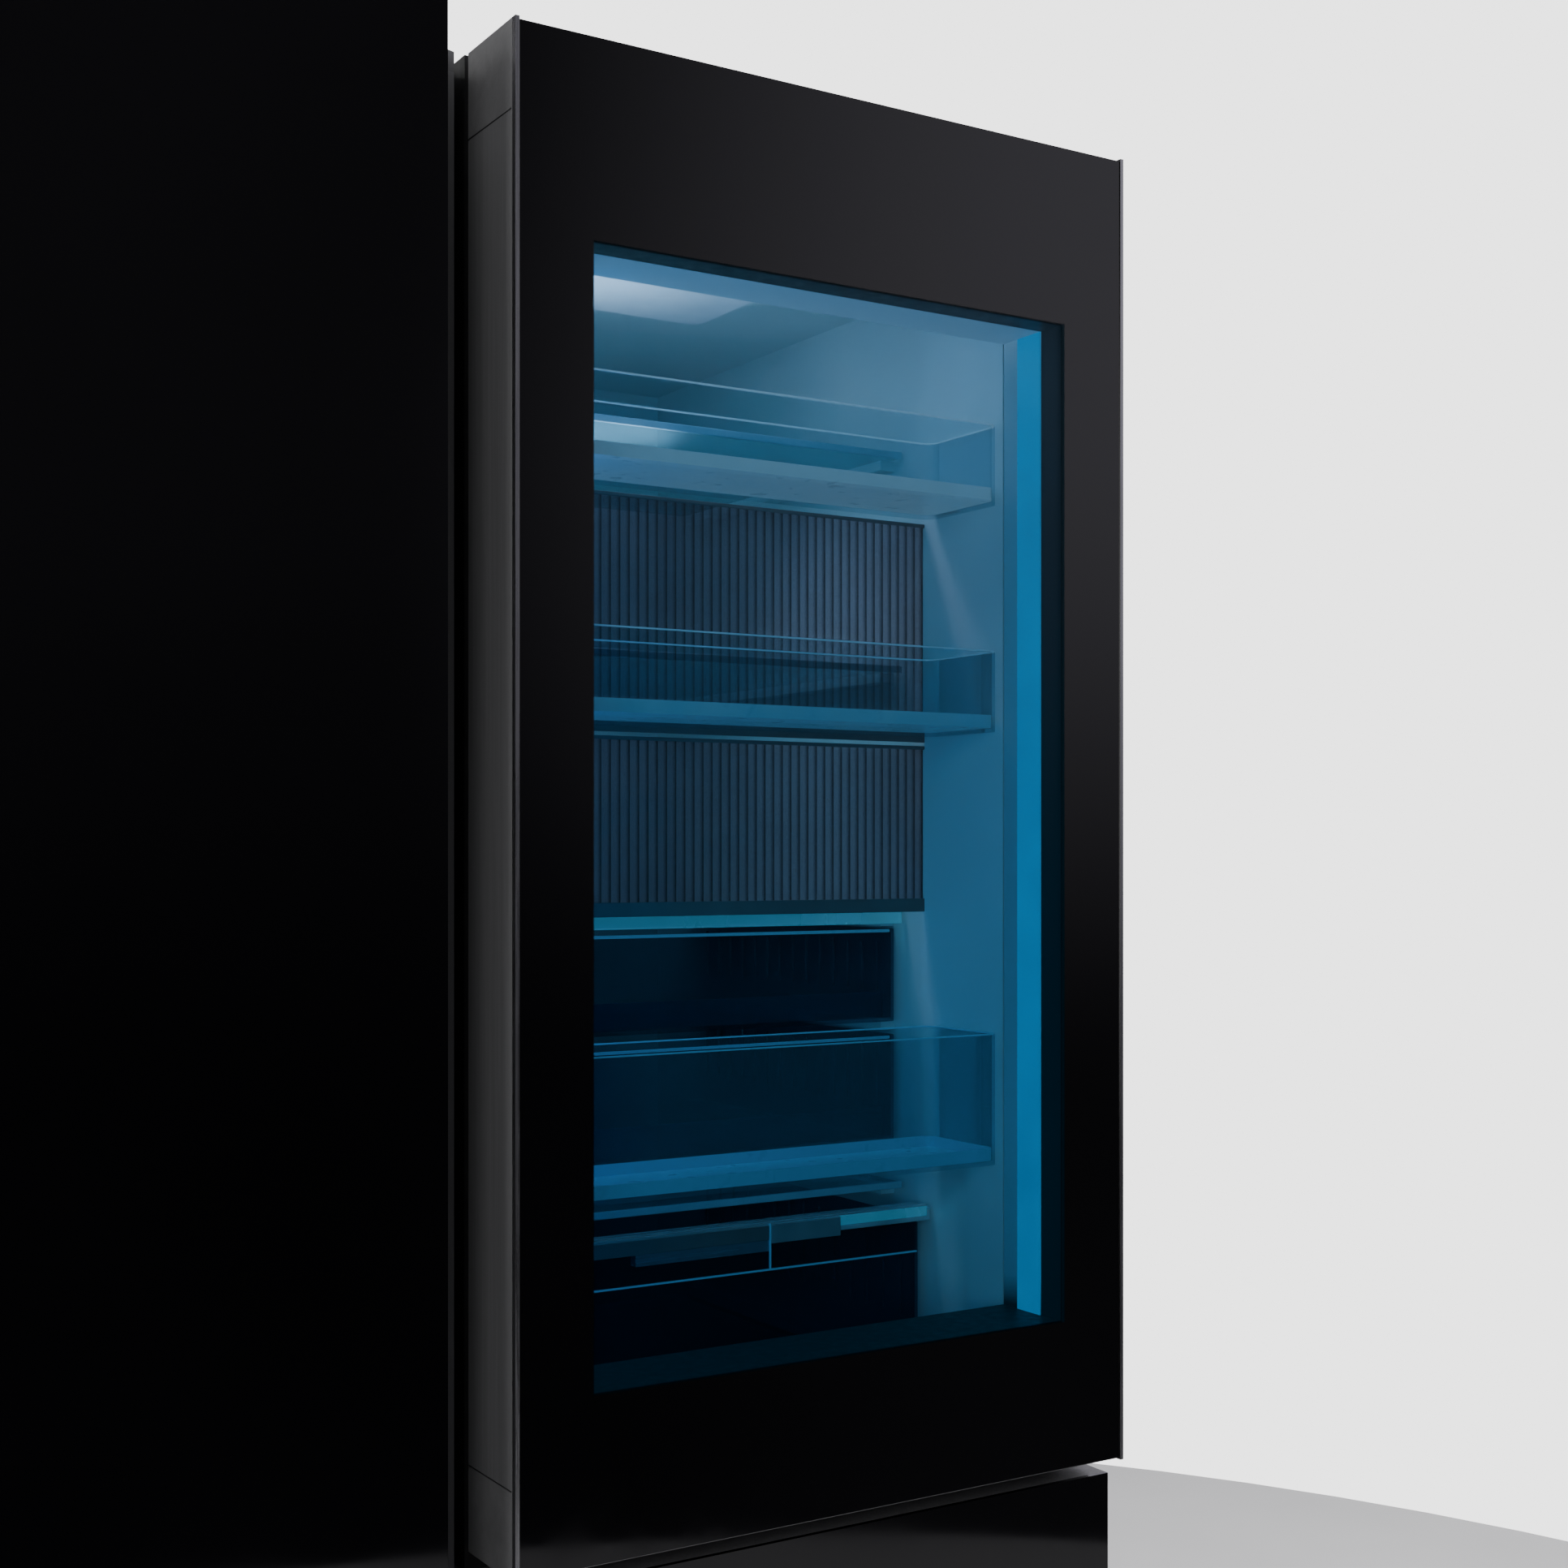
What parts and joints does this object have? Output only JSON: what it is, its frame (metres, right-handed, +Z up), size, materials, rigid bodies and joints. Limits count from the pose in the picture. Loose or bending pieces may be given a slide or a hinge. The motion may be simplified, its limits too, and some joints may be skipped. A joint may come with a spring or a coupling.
{
  "type": "side by side refrigerator",
  "caption": "Tall two-door refrigerator and freezer with a glass-fronted door-in-door, glass shelves and clear drawers.",
  "frame": {"origin": "on the floor under the middle of the outline", "axes": "+Z up, front of the doors towards -Y, +X to the right as seen from the front"},
  "size_m": [0.912, 0.735, 1.79],
  "materials": {
    "painted_steel": "satin",
    "galvanised_steel": "matte",
    "dark_nylon": "matte",
    "white_liner": "satin",
    "insulation_foam": "matte",
    "black_plastic": "satin",
    "compressor_paint": "satin",
    "coil_aluminium": "satin",
    "white_plastic": "satin",
    "lamp_lens": "satin",
    "shelf_glass": "polished",
    "clear_plastic": "gloss",
    "silver_trim": "satin",
    "black_glass": "polished",
    "dark_side_metal": "satin",
    "dark_plastic_caps": "satin",
    "gasket_rubber": "matte",
    "front_glass": "polished",
    "edge_metal": "satin",
    "pane_glass": "polished",
    "window_reveal": "satin"
  },
  "bodies": {
    "cabinet": {"cabinet_side_panels": "painted_steel", "cabinet_top_panel": "painted_steel", "cabinet_back_panel": "galvanised_steel", "cabinet_base": "galvanised_steel", "leveling_feet": "dark_nylon", "fridge_liner": "white_liner", "freezer_liner": "white_liner", "cabinet_insulation": "insulation_foam", "mullion_cover": "black_plastic", "kick_grille": "black_plastic", "machine_cover": "galvanised_steel", "power_inlet": "black_plastic", "compressor": "compressor_paint", "condenser_coil": "coil_aluminium", "evaporator_coil": "coil_aluminium", "fridge_duct_cover": "white_plastic", "freezer_duct_cover": "white_plastic", "ceiling_light_lens": "lamp_lens", "fridge_shelves": "shelf_glass", "freezer_shelves": "shelf_glass", "door_hinge_brackets": "galvanised_steel", "hinge_covers": "dark_plastic_caps"},
    "rollers": {"rear_rollers": "dark_nylon"},
    "condenser_fan_wheel": {"condenser_fan": "dark_nylon"},
    "evaporator_fan_wheel": {"evaporator_fan": "white_plastic"},
    "freezer_door": {"freezer_door_panel": "black_glass", "freezer_door_shell": "dark_side_metal", "freezer_door_insulation": "insulation_foam", "freezer_door_caps": "dark_plastic_caps", "freezer_door_liner": "white_liner", "freezer_door_bins": "clear_plastic", "freezer_door_gasket": "gasket_rubber"},
    "fridge_door": {"fridge_door_frame": "black_plastic", "fridge_door_lower_panel": "black_glass", "fridge_door_lower_shell": "dark_side_metal", "fridge_door_insulation": "insulation_foam", "fridge_door_liner": "white_liner", "fridge_door_case": "white_liner", "fluted_covers": "clear_plastic", "door_bin_upper": "clear_plastic", "door_bin_middle": "clear_plastic", "door_bin_lower": "clear_plastic", "door_bin_low": "clear_plastic", "fridge_door_gasket": "gasket_rubber", "outer_hinge_brackets": "galvanised_steel"},
    "outer_door": {"outer_door_glass": "front_glass", "outer_door_side_trims": "edge_metal", "outer_door_frame": "dark_side_metal", "outer_door_inner_pane": "pane_glass", "outer_door_window_liner": "window_reveal", "outer_door_caps": "dark_plastic_caps", "outer_door_gasket": "gasket_rubber"},
    "chiller": {"chiller_drawer": "clear_plastic"},
    "deli": {"deli_drawer": "clear_plastic"},
    "vegetable": {"vegetable_drawer": "clear_plastic", "vegetable_drawer_trim": "silver_trim"},
    "upper_crisper": {"crisper_upper": "clear_plastic"},
    "lower_crisper": {"crisper_lower": "clear_plastic"},
    "upper_freezer_drawer": {"freezer_drawer_upper": "clear_plastic"},
    "lower_freezer_drawer": {"freezer_drawer_lower": "clear_plastic"}
  },
  "joints": [
    {"name": "freezer_door_swing", "type": "hinge", "parent": "cabinet", "child": "freezer_door", "pos_m": [-0.44, -0.2725, 0.9], "axis": [0, 0, -1], "range_deg": [0, 105]},
    {"name": "fridge_door_swing", "type": "hinge", "parent": "cabinet", "child": "fridge_door", "pos_m": [0.44, -0.2725, 0.9], "axis": [0, 0, 1], "range_deg": [0, 105]},
    {"name": "outer_door_swing", "type": "hinge", "parent": "fridge_door", "child": "outer_door", "pos_m": [0.44, -0.3225, 1.25], "axis": [0, 0, 1], "range_deg": [0, 90]},
    {"name": "chiller_slide", "type": "slide", "parent": "cabinet", "child": "chiller", "axis": [0, -1, 0], "range_m": [0, 0.038]},
    {"name": "deli_slide", "type": "slide", "parent": "cabinet", "child": "deli", "axis": [0, -1, 0], "range_m": [0, 0.038]},
    {"name": "vegetable_slide", "type": "slide", "parent": "cabinet", "child": "vegetable", "axis": [0, -1, 0], "range_m": [0, 0.055]},
    {"name": "upper_crisper_slide", "type": "slide", "parent": "cabinet", "child": "upper_crisper", "axis": [0, -1, 0], "range_m": [0, 0.1]},
    {"name": "lower_crisper_slide", "type": "slide", "parent": "cabinet", "child": "lower_crisper", "axis": [0, -1, 0], "range_m": [0, 0.1]},
    {"name": "upper_freezer_drawer_slide", "type": "slide", "parent": "cabinet", "child": "upper_freezer_drawer", "axis": [0, -1, 0], "range_m": [0, 0.1]},
    {"name": "lower_freezer_drawer_slide", "type": "slide", "parent": "cabinet", "child": "lower_freezer_drawer", "axis": [0, -1, 0], "range_m": [0, 0.1]},
    {"name": "rear_roller_spin", "type": "hinge", "parent": "cabinet", "child": "rollers", "pos_m": [0, 0.33, 0.011], "axis": [1, 0, 0], "continuous": true},
    {"name": "condenser_fan_spin", "type": "hinge", "parent": "cabinet", "child": "condenser_fan_wheel", "pos_m": [0.171, 0.24, 0.118], "axis": [1, 0, 0], "continuous": true},
    {"name": "evaporator_fan_spin", "type": "hinge", "parent": "cabinet", "child": "evaporator_fan_wheel", "pos_m": [-0.253, 0.271, 0.7], "axis": [0, 1, 0], "continuous": true}
  ]
}
